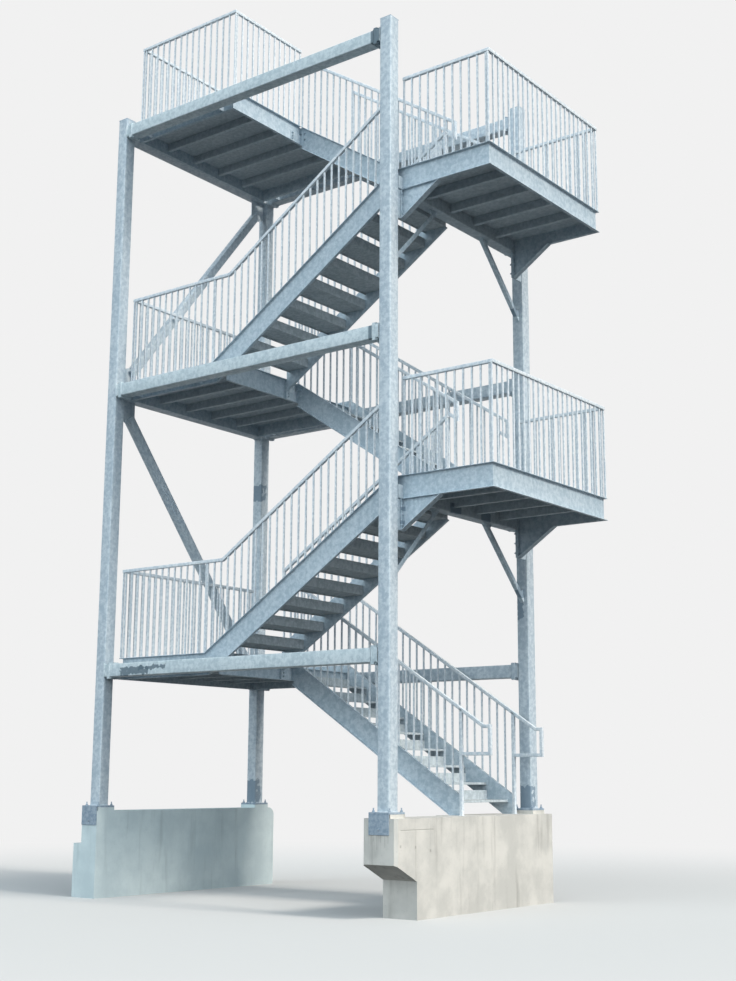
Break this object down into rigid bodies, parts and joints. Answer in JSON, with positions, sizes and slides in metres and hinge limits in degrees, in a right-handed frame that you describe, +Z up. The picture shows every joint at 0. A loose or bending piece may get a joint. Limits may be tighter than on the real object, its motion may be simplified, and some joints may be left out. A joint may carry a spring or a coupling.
{
  "type": "fire escape stair tower",
  "caption": "Galvanised steel exterior stair tower: four columns carry landings, cantilevered half landings and guarded flights.",
  "frame": {"origin": "middle of the footprint, level with the underside of the concrete walls", "axes": "+Z up; +X along the front from left to right; +Y from the front to the building"},
  "size_m": [5.685, 3.12, 10.7198],
  "materials": {
    "galvanised_steel": "hot-dip galvanised, mottled",
    "painted_concrete": "painted concrete",
    "concrete": "bare cast concrete"
  },
  "bodies": {
    "root": {"back_beam_1": "galvanised_steel", "back_beam_2": "galvanised_steel", "back_beam_3": "galvanised_steel", "column_back_left": "galvanised_steel", "column_back_right": "galvanised_steel", "column_front_left": "galvanised_steel", "column_front_right": "galvanised_steel", "cross_beam_1": "galvanised_steel", "cross_beam_2": "galvanised_steel", "down_flight_guards_1": "galvanised_steel", "down_flight_guards_2": "galvanised_steel", "down_flight_guards_3": "galvanised_steel", "down_flight_stringers_1": "galvanised_steel", "down_flight_stringers_2": "galvanised_steel", "down_flight_stringers_3": "galvanised_steel", "down_flight_treads_1": "galvanised_steel", "down_flight_treads_2": "galvanised_steel", "down_flight_treads_3": "galvanised_steel", "front_beam_1": "galvanised_steel", "front_beam_2": "galvanised_steel", "front_beam_3": "galvanised_steel", "half_landing_decks": "galvanised_steel", "half_landing_frame_1": "galvanised_steel", "half_landing_frame_2": "galvanised_steel", "half_landing_guards_1": "galvanised_steel", "half_landing_guards_2": "galvanised_steel", "haunches_1": "galvanised_steel", "haunches_2": "galvanised_steel", "knee_braces": "galvanised_steel", "landing_decks": "galvanised_steel", "landing_frame_1": "galvanised_steel", "landing_frame_2": "galvanised_steel", "landing_frame_3": "galvanised_steel", "landing_guards_1": "galvanised_steel", "landing_guards_2": "galvanised_steel", "landing_guards_3": "galvanised_steel", "left_wall": "painted_concrete", "right_wall": "concrete", "side_beam_1": "galvanised_steel", "side_beam_2": "galvanised_steel", "side_beam_3": "galvanised_steel", "side_braces": "galvanised_steel", "up_flight_guards_1": "galvanised_steel", "up_flight_guards_2": "galvanised_steel", "up_flight_stringers_1": "galvanised_steel", "up_flight_stringers_2": "galvanised_steel", "up_flight_treads_1": "galvanised_steel", "up_flight_treads_2": "galvanised_steel"}
  },
  "joints": []
}
